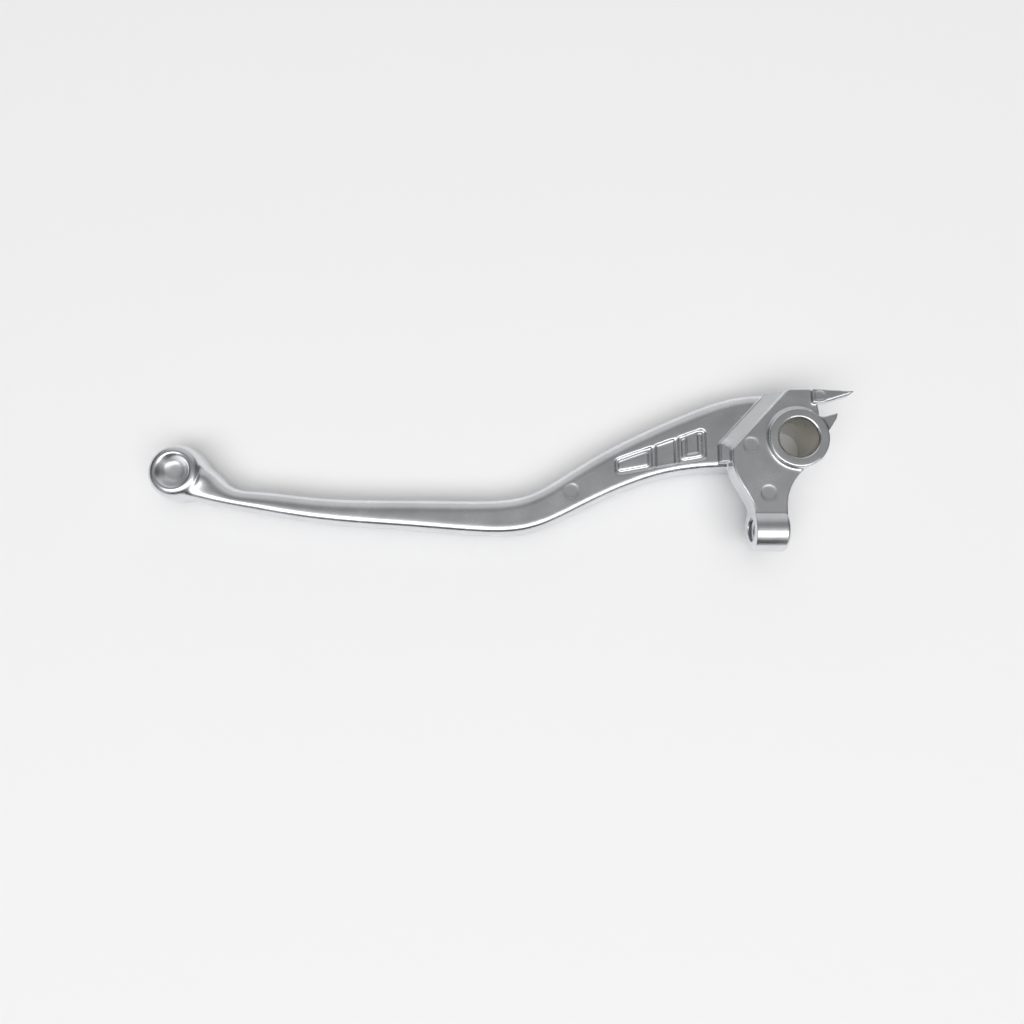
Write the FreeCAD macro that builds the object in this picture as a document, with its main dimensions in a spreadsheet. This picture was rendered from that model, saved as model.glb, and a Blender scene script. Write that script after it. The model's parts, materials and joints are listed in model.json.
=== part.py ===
"""Motorcycle brake lever: one aluminium casting, modelled in millimetres.

The origin is the middle of the pivot bore and the bore's axis is Z. The blade runs out along -X, the rider's
fingers pull on its +Y side, and the side with the cast pocket faces +Z.
"""
import FreeCAD, Part
import math
import os
import re

import Sketcher

NODE = "brake_lever"
REACH = 0.01
CURVED = "Part::GeomBSplineCurve"

# Sizes of the casting, all in millimetres: name, value, meaning
SIZES = (
    ("bore_d", 10.0, "pivot bore diameter"),
    ("bore_chamfer", 0.4, "chamfer at both mouths of the bore"),
    ("boss_d", 15.4, "pivot boss diameter"),
    ("boss_height", 16.0, "pivot boss length, face to face"),
    ("boss_round", 0.3, "rounding of the boss edges"),
    ("plate_drop", 1.2, "head plate below the boss face"),
    ("ledge_drop", 2.2, "ledge below the head plate"),
    ("leg_sink", 1.8, "underside of the leg below the pocket face of the arm"),
    ("blade_height", 10.0, "blade and arm, far face to pocket face"),
    ("finger_round", 3.0, "rounding of the blade on the fingers' side"),
    ("back_round", 1.8, "rounding of the blade on the grip side"),
    ("far_round", 2.2, "rounding of the far edges of the blade"),
    ("root_inset", 1.2, "arm's back edge inside the boss radius"),
    ("crown_y", 12.9, "top edge of the head above the pivot"),
    ("crown_front", 5.0, "front end of the head's top edge"),
    ("crown_back", 2.0, "back end of the head's top edge"),
    ("crown_rise", 0.3, "start of the arm's finger edge above the head's top edge"),
    ("swell_x", 6.0, "swell of the arm's finger edge behind the pivot"),
    ("swell_rise", 0.4, "swell of the arm's finger edge above the head's top edge"),
    ("shoulder_x", 16.6, "plate's corner behind the pivot"),
    ("shoulder_y", 2.6, "plate's corner below the pivot"),
    ("flank_length", 3.6, "straight back flank of the plate"),
    ("ledge_side", 2.4, "ledge's width beside the back flank"),
    ("ledge_slant", 4.3, "ledge's width along the head's top edge"),
    ("ledge_inset", 1.0, "ledge's lower end inside the arm's back edge"),
    ("leg_blend", 12.0, "hollow between leg and boss"),
    ("leg_sag", 4.4, "reach of the bends in the back of the leg"),
    ("leg_inset", 0.2, "front and back of the leg inside the lug's ends"),
    ("hollow_bury", 0.1, "depth at which the hollow ends inside the boss"),
    ("lug_front", 3.1, "front end of the lug behind the pivot"),
    ("lug_length", 8.6, "length of the lug barrel"),
    ("lug_d", 11.0, "lug barrel diameter"),
    ("lug_y", 22.7, "lug axis below the pivot"),
    ("lug_lift", 10.6, "lug axis above the far face of the boss"),
    ("thread_d", 6.0, "adjuster thread, outside diameter"),
    ("thread_chamfer", 0.5, "chamfer at the front mouth of the thread"),
    ("thread_land", 0.3, "flat of the lug's back face beside the thread"),
    ("lug_round", 1.0, "rounding of the lug's front end"),
    ("edge_round", 0.35, "rounding of the head's cast edges"),
    ("crown_round", 2.0, "corner behind the head's top edge"),
    ("shoulder_round", 1.5, "corner at the plate's shoulder"),
    ("hip_step", 14.0, "station hip, length from the pivot"),
    ("hip_width", 19.6, "station hip, width"),
    ("shoulder_step", 12.0, "station shoulder, length from the hip"),
    ("shoulder_back", 6.7, "station shoulder, back edge below the pivot"),
    ("shoulder_width", 15.3, "station shoulder, width"),
    ("arm_step", 12.0, "station arm, length from the shoulder"),
    ("arm_back", 9.5, "station arm, back edge below the pivot"),
    ("arm_width", 12.8, "station arm, width"),
    ("elbow_step", 12.0, "station elbow, length from the arm"),
    ("elbow_back", 14.65, "station elbow, back edge below the pivot"),
    ("elbow_width", 11.9, "station elbow, width"),
    ("bend_step", 10.0, "station bend, length from the elbow"),
    ("bend_back", 20.0, "station bend, back edge below the pivot"),
    ("bend_width", 10.7, "station bend, width"),
    ("knee_step", 8.0, "station knee, length from the bend"),
    ("knee_back", 23.3, "station knee, back edge below the pivot"),
    ("knee_width", 9.2, "station knee, width"),
    ("palm_step", 10.0, "station palm, length from the knee"),
    ("palm_back", 23.9, "station palm, back edge below the pivot"),
    ("palm_width", 8.8, "station palm, width"),
    ("reach_step", 20.0, "station reach, length from the palm"),
    ("reach_back", 22.05, "station reach, back edge below the pivot"),
    ("reach_width", 7.55, "station reach, width"),
    ("grip_step", 22.0, "station grip, length from the reach"),
    ("grip_back", 20.8, "station grip, back edge below the pivot"),
    ("grip_width", 6.05, "station grip, width"),
    ("tip_step", 18.0, "station tip, length from the grip"),
    ("tip_back", 17.7, "station tip, back edge below the pivot"),
    ("tip_width", 5.9, "station tip, width"),
    ("ball_step", 20.6, "ball end, length from the tip"),
    ("ball_y", 7.4, "ball end below the pivot"),
    ("ball_d", 14.6, "ball end diameter"),
    ("ball_lift", 7.2, "widest place of the ball above the far face"),
    ("ball_round", 3.0, "rounding of the ball's far edge"),
    ("rim_rise", 4.6, "flat rim above the widest place of the ball"),
    ("rim_wall", 1.0, "width of the flat rim"),
    ("rim_round", 0.3, "rounding of the rim's inner edge"),
    ("rim_blend", 1.2, "rounding of the rim's outer edge"),
    ("recess_depth", 2.4, "depth of the hollow in the ball end"),
    ("recess_taper", 2.1, "narrowing of the hollow to its floor"),
    ("neck_front", 5.9, "inner corner of the neck in front of the ball"),
    ("neck_width", 3.2, "inner corner of the neck above the back edge"),
    ("neck_out", 0.9, "finger edge's last pole in front of the ball"),
    ("neck_rise", 2.5, "finger edge's last pole above the ball's middle"),
    ("heel_out", 1.3, "back edge's last pole in front of the ball"),
    ("heel_drop", 1.0, "back edge's last pole below the ball"),
    ("neck_end_x", 3.3, "finger edge's end inside the ball, in front of its middle"),
    ("neck_end_y", 4.3, "finger edge's end inside the ball, above its middle"),
    ("heel_end_x", 2.0, "back edge's end inside the ball, behind its middle"),
    ("heel_end_y", 5.3, "back edge's end inside the ball, below its middle"),
    ("pocket_near", 3.0, "near end of the arm's pocket behind the ledge"),
    ("pocket_far", 4.5, "far end of the arm's pocket in front of station elbow"),
    ("pocket_near_rise", 2.5, "near end, lower corner above the arm's back edge"),
    ("pocket_near_wall", 5.85, "near end, width less than the mean of stations shoulder and arm"),
    ("pocket_far_rise", 6.25, "far end, lower corner above the arm's back edge"),
    ("pocket_far_wall", 8.35, "far end, width less than the mean of stations arm and elbow"),
    ("pocket_depth", 1.2, "depth of the arm's pocket"),
    ("pocket_corner", 1.2, "corner rounding of the arm's pocket"),
    ("rib_width", 1.0, "width of the pocket's cross ribs"),
    ("rib_near", 7.6, "first rib behind the near end of the pocket"),
    ("rib_gap", 5.9, "second rib behind the first"),
    ("rib_drop", 0.3, "ribs below the pocket's mouth"),
    ("pad_margin", 0.9, "moat round the pads in the pocket's cells"),
    ("pad_drop", 0.5, "pads below the pocket's mouth"),
    ("pad_corner", 0.5, "corner rounding of the pads"),
    ("pad_frame", 1.1, "width of the square pad's frame"),
    ("mark_d", 4.0, "ejector mark diameter"),
    ("mark_depth", 0.35, "ejector mark depth"),
    ("plate_mark_x", 11.9, "plate's ejector mark behind the pivot"),
    ("plate_mark_y", 1.7, "plate's ejector mark below the pivot"),
    ("leg_mark_x", 8.0, "leg's ejector mark behind the pivot"),
    ("leg_mark_y", 13.9, "leg's ejector mark below the pivot"),
    ("arm_mark_x", 3.1, "arm's ejector mark in front of station bend"),
    ("arm_mark_y", 2.05, "arm's ejector mark above the middle of the arm"),
    ("prong_mark_d", 2.8, "ejector mark diameter on the long prong's root"),
    ("prong_mark_x", 0.6, "prong's ejector mark in front of the head's top edge"),
    ("prong_mark_y", 2.0, "prong's ejector mark below the head's top edge"),
    ("prong_height", 2.5, "thickness of the two prongs"),
    ("prong_drop", 0.25, "prongs below the boss face"),
    ("prong_root", 1.1, "prong's root behind the front end of the head's top edge"),
    ("prong_sink", 0.25, "prong's root below the head's top edge"),
    ("prong_bevel", 0.6, "bevel on the lower edge of the long prong"),
    ("long_prong", 9.5, "long prong, reach from the front end of the head's top edge"),
    ("long_prong_fall", 0.9, "long prong, fall of its upper edge"),
    ("long_prong_tip", 1.2, "long prong, width at its tip"),
    ("long_prong_slant", 1.4, "long prong, slant of its tip"),
    ("long_prong_heel", 2.3, "long prong, heel in front of the head's top edge"),
    ("long_prong_width", 3.9, "long prong, width at its heel"),
    ("short_prong", 2.4, "short prong, reach from the boss"),
    ("short_prong_low", 1.8, "short prong, lower root above the pivot"),
    ("short_prong_high", 5.4, "short prong, upper root above the pivot"),
    ("short_prong_rise", 1.0, "short prong, rise of its upper edge"),
    ("short_prong_tip", 1.5, "short prong, width at its tip"),
    ("short_prong_slant", 0.4, "short prong, slant of its tip"),
)
STATIONS = ("hip", "shoulder", "arm", "elbow", "bend", "knee", "palm", "reach", "grip", "tip")

doc = FreeCAD.newDocument(NODE)
sheet = doc.addObject("Spreadsheet::Sheet", "sizes")
for row, (name, value, meaning) in enumerate(SIZES, start=1):
    sheet.set(f"A{row}", meaning)
    sheet.set(f"B{row}", str(value))
    sheet.setAlias(f"B{row}", name)
doc.recompute()
body = doc.addObject("PartDesign::Body", NODE)
body.Label = NODE
NAMES = {name for name, value, meaning in SIZES}


def bound(text):
    """Expression in which each size's name points to its cell."""
    return re.sub(r"[a-z][a-z_]*", lambda word: ("sizes." if word[0] in NAMES else "") + word[0], text)


def number(text):
    """Present value of an expression in the sizes."""
    return float(sheet.evalExpression(bound(text)))


# Sketches, whose points are bound to the sizes one by one
def sketch_on(name, role, lift="0", across="0", along="0"):
    """Sketch on one of the body's own origin planes, moved along its normal and within it."""
    sketch = body.newObject("Sketcher::SketchObject", name)
    plane = next(item for item in body.Origin.OriginFeatures if item.Role == role)
    sketch.AttachmentSupport = (plane, [""])
    sketch.MapMode = "FlatFace"
    for axis, distance in zip("xyz", (across, along, lift)):
        sketch.setExpression(f"AttachmentOffset.Base.{axis}", bound(distance))
    return sketch


def bind(sketch, constraint, text):
    row = sketch.addConstraint(constraint)
    sketch.setExpression(f"Constraints[{row}]", bound(text))


def pin(sketch, geometry, point, place):
    """Holds one point of a sketch at a place given by two expressions."""
    for kind, text in zip(("DistanceX", "DistanceY"), place):
        bind(sketch, Sketcher.Constraint(kind, -1, 1, geometry, point, number(text)), text)


def vector(place):
    return FreeCAD.Vector(number(place[0]), number(place[1]), 0)


def draw_line(sketch, places):
    line = sketch.addGeometry(Part.LineSegment(vector(places[0]), vector(places[1])), False)
    pin(sketch, line, 1, places[0])
    return line


def draw_curve(sketch, places):
    """Smooth curve steered by its poles; its last pole is left to the next run."""
    poles = [vector(place) for place in places]
    curve = sketch.addGeometry(Part.BSplineCurve(poles, None, None, False, 3, None, False), False)
    first = sketch.GeometryCount
    sketch.exposeInternalGeometry(curve)
    for index, place in enumerate(places[:-1]):
        pin(sketch, first + index, 3, place)
    return curve


def draw_arc(sketch, places, centre, radius):
    """Arc of less than half a turn about a centre; gives it with its first and last end as drawn."""
    middle = vector(centre)
    first, last = (vector(place) - middle for place in places)
    left_turn = first.cross(last).z > 0
    angles = [math.atan2(arm.y, arm.x) for arm in ((first, last) if left_turn else (last, first))]
    ring = Part.Circle(middle, FreeCAD.Vector(0, 0, 1), number(radius))
    arc = sketch.addGeometry(Part.ArcOfCircle(ring, *angles), False)
    ends = (1, 2) if left_turn else (2, 1)
    pin(sketch, arc, ends[0], places[0])
    bind(sketch, Sketcher.Constraint("Radius", arc, number(radius)), radius)
    return (arc, *ends)


def outline(sketch, runs):
    """Closed outline of lines, curves and arcs, each beginning where the last one ends."""
    drawn = []
    for kind, places, *more in runs:
        if kind == "line":
            drawn += [(draw_line(sketch, pair), 1, 2) for pair in zip(places, places[1:])]
        elif kind == "curve":
            drawn.append((draw_curve(sketch, places), 1, 2))
        else:
            drawn.append(draw_arc(sketch, places, *more))
    for (this, begin, end), (following, start, stop) in zip(drawn, drawn[1:] + drawn[:1]):
        sketch.addConstraint(Sketcher.Constraint("Coincident", this, end, following, start))


def polygon(sketch, places):
    outline(sketch, [("line", places + places[:1])])


def circle(sketch, place, diameter):
    ring = sketch.addGeometry(Part.Circle(vector(place), FreeCAD.Vector(0, 0, 1), number(diameter) / 2), False)
    pin(sketch, ring, 3, place)
    bind(sketch, Sketcher.Constraint("Diameter", ring, number(diameter)), diameter)


# Features
def feature(kind, name, profile, length=None):
    """Solid feature from a sketch, which then stays out of sight."""
    made = body.newObject(f"PartDesign::{kind}", name)
    made.Profile = profile
    if length:
        made.setExpression("Length", bound(length))
    return made


def grown(made, sign):
    """Recomputes and makes sure that a feature added to the casting (1) or cut it (-1)."""
    before = made.BaseFeature.Shape.Volume if made.BaseFeature else 0
    doc.recompute()
    if (made.Shape.Volume - before) * sign <= 0:
        raise RuntimeError(f"{made.Name} changes nothing")
    return made


def pad(name, profile, length):
    return grown(feature("Pad", name, profile, length), 1)


def pocket(name, profile, depth):
    return grown(feature("Pocket", name, profile, depth), -1)


def turned(kind, name, profile, axis):
    """Full turn of a profile about one of its sketch's own axes: a Revolution adds, a Groove cuts."""
    made = feature(kind, name, profile)
    made.ReferenceAxis = (profile, [axis])
    return grown(made, 1 if kind == "Revolution" else -1)


def through(*points):
    """Test for edges that pass through one of the points."""
    spots = [Part.Vertex(*(number(axis) for axis in point)) for point in points]
    return lambda edge: any(edge.distToShape(spot)[0] < REACH for spot in spots)


def level_edges(height):
    """Test for all edges that lie flat at a height."""
    level = number(height)
    return lambda edge: max(abs(edge.BoundBox.ZMin - level), abs(edge.BoundBox.ZMax - level)) < REACH


def long_edge(height, fingers):
    """Test for the long edge on the fingers' side or on the grip side, at a height of the arm."""
    flat = level_edges(height)
    return lambda edge: flat(edge) and edge.Curve.TypeId == CURVED and (edge.BoundBox.YMax > 0) == fingers


def dress(kind, name, size, test, value="Radius"):
    """Fillet or chamfer on every edge that passes a test."""
    base = body.Tip
    edges = [f"Edge{index}" for index, edge in enumerate(base.Shape.Edges, start=1) if test(edge)]
    if not edges:
        raise RuntimeError(f"{name} finds no edge")
    made = body.newObject(f"PartDesign::{kind}", name)
    made.Base = (base, edges)
    made.setExpression(value, bound(size))
    doc.recompute()
    if "Invalid" in made.State or made.Shape.isNull():
        raise RuntimeError(f"{name} fails on {len(edges)} edges")
    return made


# Heights above and below the middle of the bore
FAR = "-boss_height / 2"
NEAR = "boss_height / 2"
BLADE = "(blade_height - boss_height / 2)"
PLATE = "(boss_height / 2 - plate_drop)"
LEDGE = "(boss_height / 2 - plate_drop - ledge_drop)"
LEG = "(blade_height - boss_height / 2 - leg_sink)"

# Arm and blade: one outline whose back and finger edges follow the stations
ROOT = "(boss_d / 2 - root_inset)"
BALL_X = "-(" + " + ".join(f"{station}_step" for station in STATIONS) + " + ball_step)"
BALL_R = "ball_d / 2"


def station_x(index):
    return "-(" + " + ".join(f"{station}_step" for station in STATIONS[:index + 1]) + ")"


def back_y(station):
    return f"-{ROOT}" if station == "hip" else f"-{station}_back"


root = ("0", f"-{ROOT}")
crown = ("crown_front", "crown_y")
front = (ROOT, "0")
arm_crown = ("crown_front - root_inset", "crown_y + crown_rise")
arm_front = (f"{ROOT} - root_inset", "0")
back_end = (f"{BALL_X} - heel_end_x", "-ball_y - heel_end_y")
finger_end = (f"{BALL_X} + neck_end_x", "-ball_y + neck_end_y")
back_edge = [root]
finger_edge = [arm_crown, ("-swell_x", "crown_y + swell_rise")]
for index, station in enumerate(STATIONS):
    back_edge.append((station_x(index), back_y(station)))
    finger_edge.append((station_x(index), f"{back_y(station)} + {station}_width"))
back_edge += [(f"{BALL_X} + {BALL_R} + heel_out", f"-ball_y - {BALL_R} - heel_drop"), back_end]
finger_edge += [(f"{BALL_X} + {BALL_R} + neck_front", f"-ball_y - {BALL_R} - heel_drop + neck_width"),
                (f"{BALL_X} + {BALL_R} + neck_out", "-ball_y + neck_rise"), finger_end]

sketch = sketch_on("arm_outline", "XY_Plane", FAR)
outline(sketch, [("curve", back_edge), ("line", [back_end, finger_end]), ("curve", finger_edge[::-1]),
                 ("line", [arm_crown, arm_front, root])])
pad("arm", sketch, "blade_height")

# Roundings of the long edges, each at most a share of the blade's narrowest place
for name, size, share, height, fingers in (("finger_rounding", "finger_round", 0.51, BLADE, True),
                                           ("back_rounding", "back_round", 0.31, BLADE, False),
                                           ("far_finger_rounding", "far_round", 0.38, FAR, True),
                                           ("far_back_rounding", "far_round", 0.38, FAR, False)):
    dress("Fillet", name, f"min({size}; tip_width * {share})", long_edge(height, fingers))

# Head plate with its leg, a hollow between the leg and the boss, and rounded edges
LUG_BACK = "-(lug_front + lug_length)"
LEG_FRONT = "(lug_front + leg_inset)"
INSIDE = "(boss_d / 2 - hollow_bury)"
SWEEP = f"({INSIDE} + leg_blend)"
hollow = (f"(leg_blend - {LEG_FRONT})", f"-sqrt({SWEEP}^2 - (leg_blend - {LEG_FRONT})^2)")
hollow_low = (f"-{LEG_FRONT}", hollow[1])
hollow_high = tuple(f"{axis} * {INSIDE} / {SWEEP}" for axis in hollow)
crown_corner = ("-crown_back", "crown_y")
shoulder = ("-shoulder_x", "-shoulder_y")
flank = ("-shoulder_x", "-shoulder_y - flank_length")
lug_corner = (f"{LUG_BACK} + leg_inset", "-lug_y + thread_d / 2 + thread_land")
middle = ("0", "0")
sketch = sketch_on("plate_outline", "XY_Plane", LEG)
outline(sketch, [("line", [crown, crown_corner, shoulder, flank]),
                 ("curve", [flank, (flank[0], f"{flank[1]} - leg_sag"),
                            (lug_corner[0], f"{lug_corner[1]} + leg_sag"), lug_corner]),
                 ("line", [lug_corner, (lug_corner[0], "-lug_y"), (f"-{LEG_FRONT}", "-lug_y"), hollow_low]),
                 ("arc", [hollow_low, hollow_high], hollow, "leg_blend"),
                 ("line", [hollow_high, front, crown])])
pad("plate", sketch, f"{PLATE} - {LEG}")
dress("Fillet", "crown_rounding", "crown_round", through((*crown_corner, f"{PLATE} - plate_drop")))
dress("Fillet", "shoulder_rounding", "shoulder_round", through((*shoulder, f"{PLATE} - plate_drop")))
dress("Fillet", "plate_edge", "edge_round", level_edges(PLATE))

# Ledge that steps down from the plate to the arm
SLOPE = "(crown_y + shoulder_y) / (shoulder_x - crown_back)"
LEDGE_X = "-(shoulder_x + ledge_side)"
ledge_crown = ("-(crown_back + ledge_slant)", "crown_y")
ledge_corner = (LEDGE_X, f"crown_y - (shoulder_x + ledge_side - crown_back - ledge_slant) * {SLOPE}")
slant_middle = tuple(f"({one} + {other}) / 2" for one, other in zip(ledge_crown, ledge_corner))
sketch = sketch_on("ledge_outline", "XY_Plane", LEG)
LEDGE_Y = f"ledge_inset - {ROOT}"
polygon(sketch, [("0", "crown_y"), ledge_crown, ledge_corner, (LEDGE_X, LEDGE_Y), ("-boss_d / 4", LEDGE_Y),
                 middle])
pad("ledge", sketch, f"{LEDGE} - {LEG}")
dress("Fillet", "ledge_rounding", "shoulder_round", through((*ledge_corner, f"({LEDGE} + {BLADE}) / 2")))
dress("Fillet", "ledge_edge", "edge_round", through((*slant_middle, LEDGE)))

# Pivot boss
sketch = sketch_on("boss_outline", "XY_Plane", FAR)
circle(sketch, middle, "boss_d")
pad("boss", sketch, "boss_height")
dress("Fillet", "boss_edge", "boss_round", through(("-boss_d / 2", "0", NEAR)))

# Lug for the adjuster screw, turned about the screw's axis
LUG_Z = "(lug_lift - boss_height / 2)"
LUG_R = "lug_d / 2"
back_low = (LUG_BACK, f"{LUG_R} - edge_round")
back_high = (f"{LUG_BACK} + edge_round", LUG_R)
front_high = ("-lug_front - lug_round", LUG_R)
front_low = ("-lug_front", f"{LUG_R} - lug_round")
sketch = sketch_on("lug_section", "XY_Plane", LUG_Z, along="-lug_y")
outline(sketch, [("line", [(LUG_BACK, "0"), back_low]),
                 ("arc", [back_low, back_high], (back_high[0], back_low[1]), "edge_round"),
                 ("line", [back_high, front_high]),
                 ("arc", [front_high, front_low], (front_high[0], front_low[1]), "lug_round"),
                 ("line", [front_low, ("-lug_front", "0"), (LUG_BACK, "0")])])
turned("Revolution", "lug", sketch, "H_Axis")

# Two prongs at the front of the head
ROOT_X = "crown_front - prong_root"
TIP_X = "crown_front + long_prong"
TIP_Y = "crown_y - long_prong_fall"
HEEL_Y = "crown_y - long_prong_width"
END_X = "boss_d / 2 + short_prong"
END_Y = "short_prong_high + short_prong_rise"
sketch = sketch_on("prong_outline", "XY_Plane", f"{NEAR} - prong_drop - prong_height")
polygon(sketch, [(ROOT_X, "crown_y - prong_sink"), (TIP_X, TIP_Y),
                 (f"{TIP_X} - long_prong_slant", f"{TIP_Y} - long_prong_tip"),
                 ("crown_front + long_prong_heel", HEEL_Y), (ROOT_X, HEEL_Y)])
polygon(sketch, [("0", "short_prong_low"), ("boss_d / 2", "short_prong_low"),
                 (f"{END_X} - short_prong_slant", f"{END_Y} - short_prong_tip"), (END_X, END_Y),
                 ("boss_d / 2 - prong_root", "short_prong_high"), ("0", "short_prong_high")])
pad("prongs", sketch, "prong_height")
BEVEL_X = "(crown_front + (long_prong + long_prong_heel - long_prong_slant) / 2)"
BEVEL_Y = f"({TIP_Y} - long_prong_tip + {HEEL_Y}) / 2"
dress("Chamfer", "long_prong_bevel", "prong_bevel", through((BEVEL_X, BEVEL_Y, f"{NEAR} - prong_drop")), "Size")

# Ball end, turned about its own upright axis, with a hollow in its flat rim
BALL_Z = "(ball_lift - boss_height / 2)"
RIM_R = f"sqrt(({BALL_R})^2 - rim_rise^2)"
RIM_Z = f"({BALL_Z} + rim_rise)"
ROUND = f"min(ball_round; {BALL_R} * 0.6)"
sketch = sketch_on("ball_section", "XZ_Plane", "ball_y", BALL_X)
low = (f"{BALL_R} - {ROUND}", FAR)
side = (BALL_R, f"{FAR} + {ROUND}")
waist = (BALL_R, BALL_Z)
rim = (RIM_R, RIM_Z)
outline(sketch, [("line", [("0", FAR), low]), ("arc", [low, side], (low[0], side[1]), ROUND),
                 ("line", [side, waist]), ("arc", [waist, rim], ("0", BALL_Z), BALL_R),
                 ("line", [rim, ("0", RIM_Z), ("0", FAR)])])
turned("Revolution", "ball", sketch, "V_Axis")

# Bore, adjuster thread and the hollow of the ball end
BORE_R = "bore_d / 2"
sketch = sketch_on("bore_section", "XZ_Plane")
polygon(sketch, [("0", FAR), (f"{BORE_R} + bore_chamfer", FAR), (BORE_R, f"{FAR} + bore_chamfer"),
                 (BORE_R, f"{NEAR} - bore_chamfer"), (f"{BORE_R} + bore_chamfer", NEAR), ("0", NEAR)])
turned("Groove", "bore", sketch, "V_Axis")

THREAD_R = "thread_d / 2"
sketch = sketch_on("thread_section", "XY_Plane", LUG_Z, along="-lug_y")
polygon(sketch, [(LUG_BACK, "0"), (LUG_BACK, THREAD_R), ("-lug_front - thread_chamfer", THREAD_R),
                 ("-lug_front", f"{THREAD_R} + thread_chamfer"), ("-lug_front", "0")])
turned("Groove", "thread", sketch, "H_Axis")

MOUTH_R = f"({RIM_R} - rim_wall)"
sketch = sketch_on("recess_section", "XZ_Plane", "ball_y", BALL_X)
polygon(sketch, [("0", RIM_Z), (MOUTH_R, RIM_Z), (f"{MOUTH_R} - recess_taper", f"{RIM_Z} - recess_depth"),
                 ("0", f"{RIM_Z} - recess_depth")])
turned("Groove", "recess", sketch, "V_Axis")
dress("Fillet", "rim_outer_edge", "rim_blend", through((f"{BALL_X} - {RIM_R}", "-ball_y", RIM_Z)))
dress("Fillet", "rim_inner_edge", "rim_round", through((f"{BALL_X} - {MOUTH_R}", "-ball_y", RIM_Z)))

# Cast pocket in the arm, with two cross ribs and two raised pads
POCKET_X = f"({LEDGE_X} - pocket_near)"
POCKET_LENGTH = f"({POCKET_X} - {station_x(3)} - pocket_far)"


def between(near, far, distance):
    """Measure of the pocket at a distance behind its near end, from its measures at both ends."""
    return f"({near} + ({distance}) * ({far} - {near}) / {POCKET_LENGTH})"


def pocket_low(distance):
    return between("(pocket_near_rise - shoulder_back)", "(pocket_far_rise - elbow_back)", distance)


def pocket_high(distance):
    width = between("((shoulder_width + arm_width) / 2 - pocket_near_wall)",
                    "((arm_width + elbow_width) / 2 - pocket_far_wall)", distance)
    return f"{pocket_low(distance)} + {width}"


def pocket_band(start, stop, margin):
    """Four corners of a band across the pocket, between two distances from its near end."""
    return [(f"{POCKET_X} - ({start})", f"{pocket_low(start)} + {margin}"),
            (f"{POCKET_X} - ({start})", f"{pocket_high(start)} - {margin}"),
            (f"{POCKET_X} - ({stop})", f"{pocket_high(stop)} - {margin}"),
            (f"{POCKET_X} - ({stop})", f"{pocket_low(stop)} + {margin}")]


sketch = sketch_on("pocket_outline", "XY_Plane", BLADE)
polygon(sketch, pocket_band("0", POCKET_LENGTH, "0"))
pocket("arm_pocket", sketch, "pocket_depth")
dress("Fillet", "pocket_corners", "pocket_corner",
      through(*[(x, y, f"{BLADE} - pocket_depth / 2") for x, y in pocket_band("0", POCKET_LENGTH, "0")]))

FLOOR = f"{BLADE} - pocket_depth"
RIBS = ("rib_near", "rib_near + rib_gap")
sketch = sketch_on("rib_outline", "XY_Plane", FLOOR)
for middle in RIBS:
    polygon(sketch, pocket_band(f"{middle} - rib_width / 2", f"{middle} + rib_width / 2", "-rib_drop"))
pad("ribs", sketch, "pocket_depth - rib_drop")

sketch = sketch_on("pad_outline", "XY_Plane", FLOOR)
square = pocket_band("pad_margin", "rib_near - rib_width / 2 - pad_margin", "pad_margin")
bar = pocket_band("rib_near + rib_gap + rib_width / 2 + pad_margin", f"{POCKET_LENGTH} - pad_margin",
                  "pad_margin")
polygon(sketch, square)
polygon(sketch, bar)
pad("pads", sketch, "pocket_depth - pad_drop")
PAD_Z = f"{BLADE} - (pocket_depth + pad_drop) / 2"
dress("Fillet", "pad_corners", "pad_corner", through(*[(x, y, PAD_Z) for x, y in square + bar]))

sketch = sketch_on("frame_outline", "XY_Plane", f"{BLADE} - pad_drop")
polygon(sketch, pocket_band("pad_margin + pad_frame", "rib_near - rib_width / 2 - pad_margin - pad_frame",
                            "pad_margin + pad_frame"))
pocket("pad_frame_cut", sketch, "pocket_depth - pad_drop")

# Ejector marks
sketch = sketch_on("head_marks", "XY_Plane", PLATE)
circle(sketch, ("-plate_mark_x", "-plate_mark_y"), "mark_d")
circle(sketch, ("-leg_mark_x", "-leg_mark_y"), "mark_d")
pocket("head_ejector_marks", sketch, "mark_depth")
sketch = sketch_on("arm_mark", "XY_Plane", BLADE)
circle(sketch, (f"{station_x(4)} + arm_mark_x", "bend_width / 2 - bend_back + arm_mark_y"), "mark_d")
pocket("arm_ejector_mark", sketch, "mark_depth")
sketch = sketch_on("prong_mark", "XY_Plane", f"{NEAR} - prong_drop")
circle(sketch, ("crown_front + prong_mark_x", "crown_y - prong_mark_y"), "prong_mark_d")
pocket("prong_ejector_mark", sketch, "mark_depth")

# Every object is sound before the casting is written
for item in doc.Objects:
    if {"Invalid", "Error"} & set(item.State):
        raise RuntimeError(f"{item.Name} is not sound")
    if item.TypeId == "Sketcher::SketchObject" and not item.FullyConstrained:
        raise RuntimeError(f"{item.Name} is loose")
if body.Shape.isNull() or not body.Shape.isValid() or len(body.Shape.Solids) != 1:
    raise RuntimeError("the casting is not one sound solid")

os.makedirs("parts", exist_ok=True)
body.Shape.exportStep(f"parts/{NODE}.step")
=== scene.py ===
"""Looks of the cast aluminium brake lever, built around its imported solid."""
import json
import math

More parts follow.
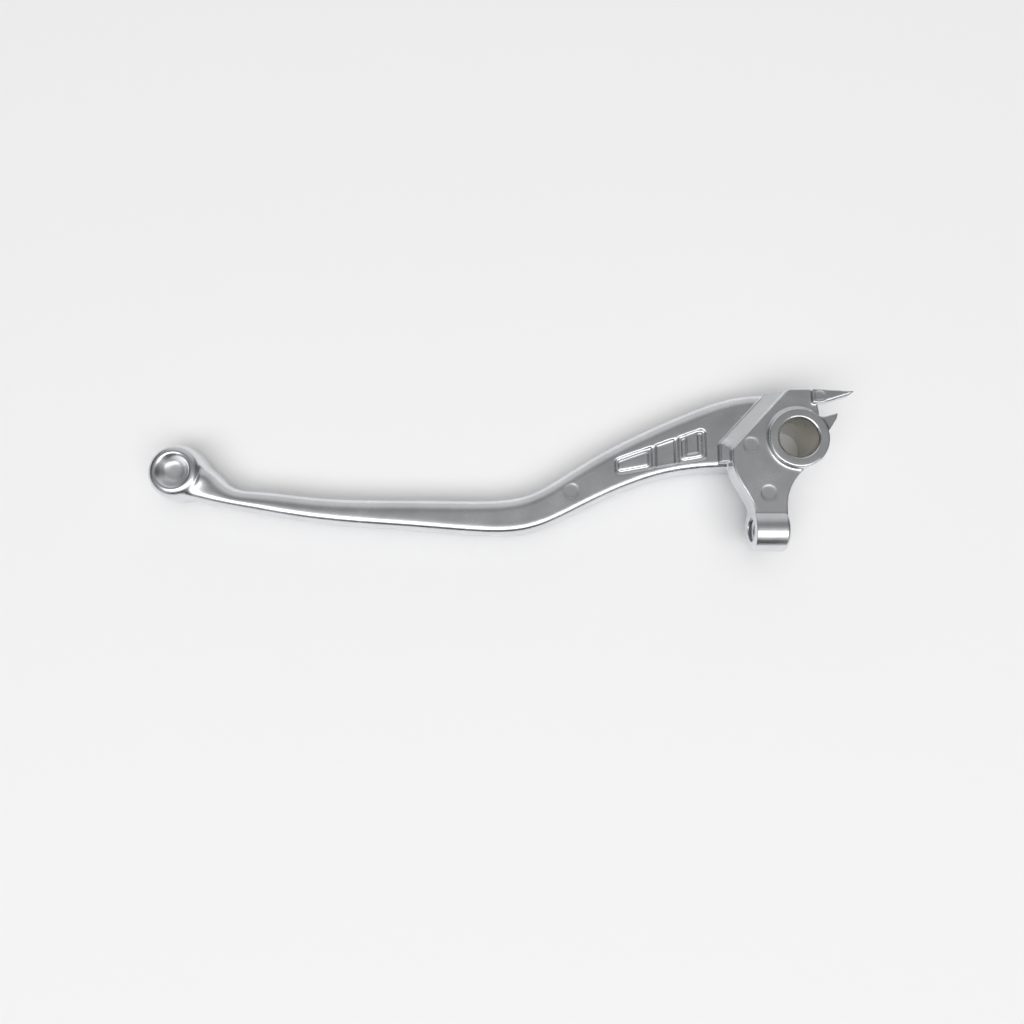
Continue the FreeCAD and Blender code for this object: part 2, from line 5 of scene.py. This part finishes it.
import bpy
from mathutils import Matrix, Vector

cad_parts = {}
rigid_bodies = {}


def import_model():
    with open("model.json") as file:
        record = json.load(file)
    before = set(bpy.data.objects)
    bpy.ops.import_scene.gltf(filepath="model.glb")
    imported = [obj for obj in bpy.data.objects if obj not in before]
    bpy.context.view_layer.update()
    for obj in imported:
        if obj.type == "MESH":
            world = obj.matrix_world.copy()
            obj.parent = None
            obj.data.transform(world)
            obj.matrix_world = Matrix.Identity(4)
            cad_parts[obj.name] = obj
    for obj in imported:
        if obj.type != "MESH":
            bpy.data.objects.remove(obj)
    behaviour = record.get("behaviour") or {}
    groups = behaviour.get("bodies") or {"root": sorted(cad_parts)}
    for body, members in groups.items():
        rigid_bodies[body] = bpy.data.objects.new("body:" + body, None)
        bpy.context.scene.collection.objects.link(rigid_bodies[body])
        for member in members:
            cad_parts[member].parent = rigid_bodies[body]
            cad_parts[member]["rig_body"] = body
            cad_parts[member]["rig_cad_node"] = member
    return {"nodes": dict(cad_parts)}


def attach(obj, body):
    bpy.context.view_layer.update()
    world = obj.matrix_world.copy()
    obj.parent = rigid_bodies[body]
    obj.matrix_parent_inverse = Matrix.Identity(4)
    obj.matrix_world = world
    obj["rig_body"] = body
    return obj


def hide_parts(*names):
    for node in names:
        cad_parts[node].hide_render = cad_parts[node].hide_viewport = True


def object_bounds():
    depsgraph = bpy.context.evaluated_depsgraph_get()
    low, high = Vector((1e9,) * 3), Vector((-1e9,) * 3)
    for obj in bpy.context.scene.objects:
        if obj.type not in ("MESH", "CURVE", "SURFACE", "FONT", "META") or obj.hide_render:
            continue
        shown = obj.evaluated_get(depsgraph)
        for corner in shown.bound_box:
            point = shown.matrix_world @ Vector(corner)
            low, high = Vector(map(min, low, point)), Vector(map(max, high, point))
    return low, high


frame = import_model()
cad_low, cad_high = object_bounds()

MM = 0.001

# Adjuster thread in the lug, which runs along X
THREAD_START = Vector((-11.5, -22.7, 2.6)) * MM
THREAD_LENGTH = 7.9 * MM
THREAD_PITCH = 1.0 * MM
THREAD_OUTER = 3.06 * MM
THREAD_INNER = 2.5 * MM
THREAD_STEPS = 40
SHARP_ANGLE = math.radians(32)

# Cast skin of the lever
SKIN_CELL = 0.2 * MM
SKIN_SHARE = 0.34
WELD = 0.0005 * MM

# Faces and places on the lever, in millimetres from the middle of the pivot bore
PLATE_FACE = 6.8
PRONG_FACE = 7.75
ARM_FACE = 2.0
BALL_PLACE = (-158.6, -7.4)
HOLLOW_HEIGHT = 1.5
HUMP_PLACE = (-151.9, -9.0)
HUMP_RISE = 0.6
HUMP_SPREAD = 5.4
LEDGE_START = (-6.3, 12.9)
LEDGE_COS, LEDGE_SIN = 0.728, 0.6857
LEDGE_FOOT = 2.5
LEDGE_SLOPE = 0.8
POCKET_FILL = 0.35

# Ejector marks: their places, the faces they are in and the share of their depth that tumbling left
MARKS = ((-11.9, -1.7, PLATE_FACE, 0.35), (-8.0, -13.9, PLATE_FACE, 0.35), (-56.9, -12.6, ARM_FACE, 0.35),
         (5.6, 10.9, PRONG_FACE, 0.6))

# Finish of the metal
WAVE_SCALE = 520.0
GRAIN_SCALE = 3800.0
CLOUD_SCALE = 160.0
DARK_METAL = (0.74, 0.75, 0.77)
PALE_METAL = (0.82, 0.83, 0.85)
BORE_METAL = (0.66, 0.63, 0.55, 1)
PAPER_WHITE = (0.88, 0.88, 0.885, 1)

# Floor, lamps and camera
STAGE_X = -0.07
FLOOR_SIZE = 3.0
LENS = 28.125
SENSOR_WIDTH = 36.0
CAMERA_TILT = math.radians(8.25)
CAMERA_PLACE = Vector((-72.0, -47.25, 203.24)) * MM

# Grey levels of the room, from the near horizon over the top to the far horizon, in degrees from straight up
ROOM_LEVELS = ((-90, 0.01), (-72, 0.02), (-62, 0.07), (-53, 0.25), (-45, 0.6), (-36, 0.8), (-20, 0.8),
               (-13, 0.75), (-5, 0.52), (3, 0.38), (11, 0.29), (19, 0.225), (28, 0.27), (36, 0.42),
               (45, 0.54), (58, 0.62), (90, 0.62))


# Tools for meshes
def deselect_all():
    bpy.ops.object.select_all(action="DESELECT")


def activate(piece):
    """Makes a piece the only selected and active object."""
    deselect_all()
    piece.hide_viewport = False
    piece.select_set(True)
    bpy.context.view_layer.objects.active = piece


def apply_modifier(piece, kind, **settings):
    """Adds a modifier with its settings and applies it."""
    modifier = piece.modifiers.new(kind.lower(), kind)
    for name, value in settings.items():
        setattr(modifier, name, value)
    activate(piece)
    bpy.ops.object.modifier_apply(modifier=modifier.name)


# Tools for materials
class Socket:
    """Output of a shader node on which sums can be written as plain expressions."""

    def __init__(self, shader, output):
        self.shader = shader
        self.output = output

    def beside(self, name):
        """Another output of the same node."""
        return Socket(self.shader, self.output.node.outputs[name])

    def math(self, operation, first, second):
        return self.shader.node("ShaderNodeMath", {"operation": operation}, {0: first, 1: second})

    def __add__(self, other):
        return self.math("ADD", self, other)

    def __radd__(self, other):
        return self.math("ADD", other, self)

    def __mul__(self, other):
        return self.math("MULTIPLY", self, other)

    def __rmul__(self, other):
        return self.math("MULTIPLY", other, self)


class Shader:
    """Node tree of a material or world, built node by node."""

    def __init__(self, owner):
        owner.use_nodes = True
        self.tree = owner.node_tree
        self.tree.nodes.clear()

    def node(self, kind, settings=None, inputs=None, output=0):
        """Adds a node with its settings and inputs, and hands back one of its outputs if it has any."""
        node = self.tree.nodes.new(kind)
        for name, value in (settings or {}).items():
            if name == "stops":
                self.set_stops(node.color_ramp, value)
            else:
                setattr(node, name, value)
        for name, value in (inputs or {}).items():
            if isinstance(value, Socket):
                self.tree.links.new(value.output, node.inputs[name])
            else:
                node.inputs[name].default_value = value
        return Socket(self, node.outputs[output]) if node.outputs else None

    @staticmethod
    def set_stops(ramp, stops):
        """Places a ramp's stops, each given as its place and its grey level or colour."""
        while len(ramp.elements) < len(stops):
            ramp.elements.new(1.0)
        for element, (place, level) in zip(ramp.elements, stops):
            element.position = place
            element.color = (*level, 1) if isinstance(level, tuple) else (level, level, level, 1)


# Finishes
def tumbled_aluminium():
    """Bare casting, tumbled until it shines: soft waves, fine grain, a rougher ball hollow and a darker,
    browner bore wall.
    """
    material = bpy.data.materials.new("tumbled_aluminium")
    shader = Shader(material)
    place = shader.node("ShaderNodeTexCoord", output="Object")
    waves = shader.node("ShaderNodeTexNoise", {}, {"Vector": place, "Scale": WAVE_SCALE, "Detail": 2.0})
    grain = shader.node("ShaderNodeTexNoise", {}, {"Vector": place, "Scale": GRAIN_SCALE, "Detail": 3.0})
    clouds = shader.node("ShaderNodeTexNoise", {}, {"Vector": place, "Scale": CLOUD_SCALE, "Detail": 3.0})
    height = 0.75 * waves + 0.25 * grain
    bump = shader.node("ShaderNodeBump", {}, {"Height": height, "Strength": 0.12, "Distance": 0.12 * MM})
    hollow_floor = tuple(length * MM for length in (*BALL_PLACE, HOLLOW_HEIGHT))
    from_hollow = shader.node("ShaderNodeVectorMath", {"operation": "DISTANCE"}, {0: place, 1: hollow_floor},
                              output="Value")
    as_cast = shader.node("ShaderNodeMapRange", {}, {
        "Value": from_hollow, "From Min": 3.2 * MM, "From Max": 4.4 * MM, "To Min": 0.13, "To Max": 0.0})
    roughness = 0.17 + 0.12 * clouds + 0.05 * grain + as_cast
    tone = shader.node("ShaderNodeValToRGB", {"stops": ((0.3, DARK_METAL), (0.7, PALE_METAL))}, {"Fac": clouds})
    along_x = shader.node("ShaderNodeSeparateXYZ", {}, {0: place}, output="X")
    flat = shader.node("ShaderNodeCombineXYZ", {}, {"X": along_x, "Y": along_x.beside("Y")})
    from_pivot = shader.node("ShaderNodeVectorMath", {"operation": "LENGTH"}, {0: flat}, output="Value")
    # Darker, browner tone on the wall of the pivot bore, in a narrow band at the bore's radius
    bore_wall = shader.node("ShaderNodeMapRange", {}, {
        "Value": from_pivot, "From Min": 4.98 * MM, "From Max": 5.25 * MM, "To Min": 0.75, "To Max": 0.0})
    tone = shader.node("ShaderNodeMix", {"data_type": "RGBA"}, {0: bore_wall, 6: tone, 7: BORE_METAL}, output=2)
    metal = shader.node("ShaderNodeBsdfPrincipled", {}, {
        "Base Color": tone, "Metallic": 1.0, "Roughness": roughness, "Normal": bump})
    shader.node("ShaderNodeOutputMaterial", {}, {"Surface": metal})
    return material


def paper():
    """White paper under the lever."""
    material = bpy.data.materials.new("paper")
    shader = Shader(material)
    sheet = shader.node("ShaderNodeBsdfPrincipled", {}, {
        "Base Color": PAPER_WHITE, "Roughness": 0.9, "Specular IOR Level": 0.1})
    shader.node("ShaderNodeOutputMaterial", {}, {"Surface": sheet})
    return material


# Regions of the lever, each a weight from 0 to 1 at a point in millimetres
def near(value, low, high, fade):
    """Weight of a value: 1 between two limits, falling to 0 over a distance outside them."""
    outside = max(low - value, value - high, 0.0)
    return max(0.0, 1.0 - outside / fade)


def from_ball(x, y):
    """Distance from the ball's axis."""
    return math.hypot(x - BALL_PLACE[0], y - BALL_PLACE[1])


def ledge_across(x, y):
    """Distance from the ledge's slanting edge towards the plate."""
    return (x - LEDGE_START[0]) * LEDGE_COS - (y - LEDGE_START[1]) * LEDGE_SIN


def ledge_along(x, y):
    """Distance along the ledge's slanting edge from the head's top edge."""
    return -(x - LEDGE_START[0]) * LEDGE_SIN - (y - LEDGE_START[1]) * LEDGE_COS


def everywhere(x, y, z):
    return 1.0


def blade(x, y, z):
    """Slim blade, which is more oval towards the ball end."""
    return near(x, -150.0, -98.0, 35.0)


def neck(x, y, z):
    """End of the blade that widens towards the ball."""
    return near(x, -153.0, -139.0, 8.0) * near(from_ball(x, y), 7.6, 99.0, 0.8)


def ball_neck(x, y, z):
    """Run of the blade's neck into the ball, below the ball's rim."""
    return near(from_ball(x, y), 6.9, 9.0, 3.0) * near(z, -10.0, 2.2, 0.6)


def ball_hollow(x, y, z):
    return near(from_ball(x, y), 0.0, 4.2, 0.8) * near(z, 0.5, 4.5, 0.5)


def arm_pocket(x, y, z):
    """Pocket in the arm, which widens towards the head."""
    low = 0.179 * (x + 23.0) - 4.7
    high = 0.369 * (x + 22.2) + 4.3
    return near(x, -45.6, -21.4, 0.8) * near(y, low, high, 0.6) * near(z, 0.0, 2.5, 0.5)


def boss_foot(x, y, z):
    """Corner between the pivot boss and the plate."""
    return near(math.hypot(x, y), 7.2, 9.2, 0.5) * near(z, 6.3, 7.9, 0.3) * near(x, -12.0, 4.0, 1.0)


def ejector_marks(x, y, z):
    return max(near(math.hypot(x - mark_x, y - mark_y), 0.0, 2.4, 0.6) for mark_x, mark_y, face, depth in MARKS)


def ledge(x, y, z):
    """Ledge between the plate and the arm."""
    return (near(ledge_across(x, y), -0.4, 3.3, 0.5) * near(ledge_along(x, y), -6.0, 17.0, 1.5)
            * near(z, 2.6, 5.0, 0.3))


# Forms of the lever, each a new height for a point in millimetres
def sloped_ledge(x, y, z):
    """Ledge that falls from the plate towards the arm."""
    across = ledge_across(x, y)
    weight = near(across, -0.15, 3.05, 0.15) * near(ledge_along(x, y), -6.0, 16.0, 2.5) * near(z, 3.2, 4.8, 0.2)
    return z + weight * (min(LEDGE_FOOT + LEDGE_SLOPE * max(across, 0.0), z + 0.5) - z)


def domed_ball(x, y, z):
    """Ball whose outer shoulder is evenly rounded up to the mouth of its hollow."""
    distance = from_ball(x, y)
    if z < 0.1 or distance > 7.3:
        return z
    if distance < 4.7:
        return z - 0.32 * near(z, 1.4, 9.0, 0.8)
    return min(z, 0.1 + math.sqrt(12.25 - (distance - 3.8) ** 2))


def faint_marks(x, y, z):
    """Ejector marks that are almost tumbled away."""
    for mark_x, mark_y, face, depth in MARKS:
        if math.hypot(x - mark_x, y - mark_y) < 2.3 and face - 0.6 < z < face:
            return face - depth * (face - z)
    return z


def shallow_pocket(x, y, z):
    """Pocket whose cells are filled up a little by the rounding of their corners."""
    return z + POCKET_FILL * arm_pocket(x, y, z) * max(ARM_FACE - z, 0.0)


def risen_neck(x, y, z):
    """Neck that rises in a hump to the side of the ball."""
    distance = from_ball(x, y)
    if z < 0.0 or distance < 6.6:
        return z
    hump = math.exp(-((x - HUMP_PLACE[0]) ** 2 + (y - HUMP_PLACE[1]) ** 2) / HUMP_SPREAD)
    return z + HUMP_RISE * hump * near(distance, 7.2, 99.0, 0.8)


# Order of the work on the skin: forms, rounds of softening by region, the neck's hump, last rounds
FORMS = (sloped_ledge, domed_ball, faint_marks, shallow_pocket)
SOFTENING = ((blade, 160), (neck, 160), (ball_neck, 80), (ball_hollow, 8), (ejector_marks, 10),
             (arm_pocket, 26), (boss_foot, 30), (ledge, 12))
LAST_SOFTENING = ((ball_neck, 15), (everywhere, 5))


def reshape(piece, height):
    """Moves every point of a piece to a height worked out from its place."""
    for vertex in piece.data.vertices:
        x, y, z = vertex.co / MM
        vertex.co.z = height(x, y, z) * MM


def soften(piece, region, rounds):
    """Rounds the edges of a region as casting and tumbling do."""
    group = piece.vertex_groups.new(name=region.__name__)
    for vertex in piece.data.vertices:
        weight = region(*(vertex.co / MM))
        if weight > 0.0:
            group.add([vertex.index], weight, "REPLACE")
    apply_modifier(piece, "SMOOTH", factor=0.5, iterations=rounds, vertex_group=group.name)
    piece.vertex_groups.clear()


# Pieces
def lever_casting():
    """Even skin over the solid, with the roundings that casting and tumbling leave."""
    solid = frame["nodes"]["brake_lever"]
    deselect_all()
    casting = solid.copy()
    casting.data = solid.data.copy()
    casting.name = "lever_casting"
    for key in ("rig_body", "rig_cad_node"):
        del casting[key]
    casting.parent = None
    bpy.context.scene.collection.objects.link(casting)
    activate(casting)
    bpy.ops.object.mode_set(mode="EDIT")
    bpy.ops.mesh.select_all(action="SELECT")
    bpy.ops.mesh.customdata_custom_splitnormals_clear()
    bpy.ops.mesh.remove_doubles(threshold=WELD)
    bpy.ops.object.mode_set(mode="OBJECT")
    apply_modifier(casting, "REMESH", mode="VOXEL", voxel_size=SKIN_CELL, adaptivity=0.0)
    for height in FORMS:
        reshape(casting, height)
    for region, rounds in SOFTENING:
        soften(casting, region, rounds)
    reshape(casting, risen_neck)
    for region, rounds in LAST_SOFTENING:
        soften(casting, region, rounds)
    apply_modifier(casting, "DECIMATE", ratio=SKIN_SHARE)
    activate(casting)
    bpy.ops.object.shade_smooth()
    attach(casting, "root")
    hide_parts("brake_lever")
    return casting


def adjuster_thread():
    """Turns of the adjuster thread, one ridge wound along the lug's hole."""
    turns = int(THREAD_LENGTH / THREAD_PITCH) - 1
    deselect_all()
    bpy.ops.mesh.primitive_plane_add(size=1.0)
    thread = bpy.context.active_object
    thread.name = "adjuster_thread"
    # The plane's corners come in two rows, so the ridge's far foot is the second of them
    ridge = ((-0.44, THREAD_OUTER), (0.44, THREAD_OUTER), (-0.07, THREAD_INNER), (0.07, THREAD_INNER))
    for vertex, (along, radius) in zip(thread.data.vertices, ridge):
        vertex.co = (along * THREAD_PITCH, radius, 0)
    apply_modifier(thread, "SCREW", axis="X", screw_offset=THREAD_PITCH, iterations=turns, steps=THREAD_STEPS,
                   render_steps=THREAD_STEPS, use_merge_vertices=False)
    activate(thread)
    bpy.ops.object.mode_set(mode="EDIT")
    bpy.ops.mesh.select_all(action="SELECT")
    bpy.ops.mesh.remove_doubles(threshold=WELD)
    bpy.ops.mesh.normals_make_consistent(inside=False)
    bpy.ops.object.mode_set(mode="OBJECT")
    thread.location = THREAD_START + Vector((THREAD_PITCH / 2, 0, 0))
    bpy.ops.object.transform_apply(location=True, rotation=True, scale=True)
    bpy.ops.object.shade_smooth_by_angle(angle=SHARP_ANGLE)
    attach(thread, "root")
    return thread


# Stage
def floor():
    deselect_all()
    bpy.ops.mesh.primitive_plane_add(size=FLOOR_SIZE, location=(STAGE_X, 0, cad_low.z))
    made = bpy.context.active_object
    made.name = "paper_floor"
    made.data.materials.append(paper())


def soft_box(name, power, place, width, height, mirrored=True):
    """Large rectangular lamp that looks at the middle of the stage and may stay out of reflections."""
    lamp = bpy.data.lights.new(name, "AREA")
    lamp.shape = "RECTANGLE"
    lamp.size = width
    lamp.size_y = height
    lamp.energy = power
    holder = bpy.data.objects.new(name, lamp)
    holder.location = place
    holder.rotation_euler = (Vector((STAGE_X, 0, 0)) - Vector(place)).to_track_quat("-Z", "Y").to_euler()
    holder.visible_glossy = mirrored
    bpy.context.scene.collection.objects.link(holder)


def room():
    """Dim room whose level changes from the near side over the top to the far side, darker at both ends."""
    world = bpy.data.worlds.new("room")
    bpy.context.scene.world = world
    shader = Shader(world)
    direction = shader.node("ShaderNodeTexCoord", output="Generated")
    along = shader.node("ShaderNodeSeparateXYZ", {}, {0: direction}, output="X")
    across = along.beside("Y")
    aside = shader.node("ShaderNodeMath", {"operation": "ABSOLUTE"}, {0: along})
    stops = [(0.5 + 0.5 * math.sin(math.radians(angle)), level) for angle, level in ROOM_LEVELS]
    level = shader.node("ShaderNodeValToRGB", {"stops": stops}, {"Fac": 0.5 + 0.5 * across})
    dim = shader.node("ShaderNodeMapRange", {"interpolation_type": "SMOOTHSTEP"}, {
        "Value": aside, "From Min": 0.4, "From Max": 0.85, "To Min": 1.0, "To Max": 0.35})
    sky = shader.node("ShaderNodeBackground", {}, {"Color": level, "Strength": dim})
    shader.node("ShaderNodeOutputWorld", {}, {"Surface": sky})


def camera():
    lens = bpy.data.cameras.new("camera")
    lens.lens = LENS
    lens.sensor_width = SENSOR_WIDTH
    lens.clip_start = 5 * MM
    holder = bpy.data.objects.new("camera", lens)
    holder.location = CAMERA_PLACE
    holder.rotation_euler = (CAMERA_TILT, 0, 0)
    bpy.context.scene.collection.objects.link(holder)
    bpy.context.scene.camera = holder


aluminium = tumbled_aluminium()
for piece in (lever_casting(), adjuster_thread()):
    piece.data.materials.clear()
    piece.data.materials.append(aluminium)
floor()
room()
soft_box("front_soft_box", 5.6, (STAGE_X, -0.55, 0.95), 1.8, 0.55)
soft_box("ceiling_fill", 16.2, (STAGE_X, 0, 1.8), 2.5, 2.5, mirrored=False)
camera()
bpy.context.scene.view_settings.view_transform = "Standard"
